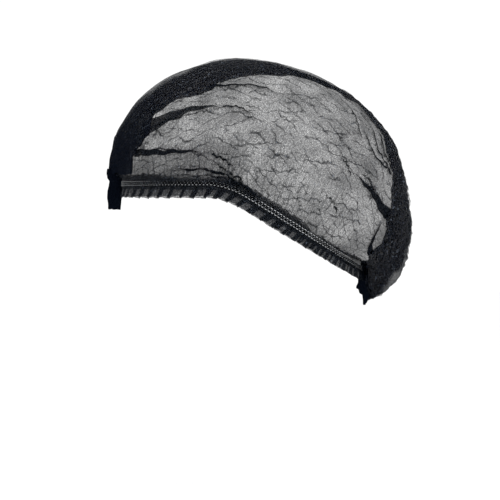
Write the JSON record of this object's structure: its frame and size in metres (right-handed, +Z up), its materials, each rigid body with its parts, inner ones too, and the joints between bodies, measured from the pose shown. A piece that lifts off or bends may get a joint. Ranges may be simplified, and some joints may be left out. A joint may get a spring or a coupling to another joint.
{
  "type": "hairnet",
  "caption": "Soft black mesh hair net in its worn shape, with a pleated crown band, a hanging pouch at the back, an elastic hem, a pleated edge and a tab at each end.",
  "frame": {"origin": "middle of the head opening, level with the hem at the forehead, where a head's brow line sits", "axes": "+Z up through the crown, -Y towards the forehead tab, +Y towards the nape tab, +X towards the side that the pleats lean to"},
  "size_m": [0.1652, 0.2207, 0.1763],
  "materials": {
    "net": "fine black nylon net, half see-through",
    "pleated_net": "the same net in many layers, close to solid black",
    "hem": "doubled net hem, gathered",
    "elastic_thread": "light grey stitched elastic thread"
  },
  "bodies": {
    "root": {"crown_net": "net", "centre_pleats": "pleated_net", "hem_band": "hem", "elastic_upper": "elastic_thread", "elastic_lower": "elastic_thread", "ruffle": "net", "front_tab": "pleated_net", "back_tab": "pleated_net"}
  },
  "joints": []
}
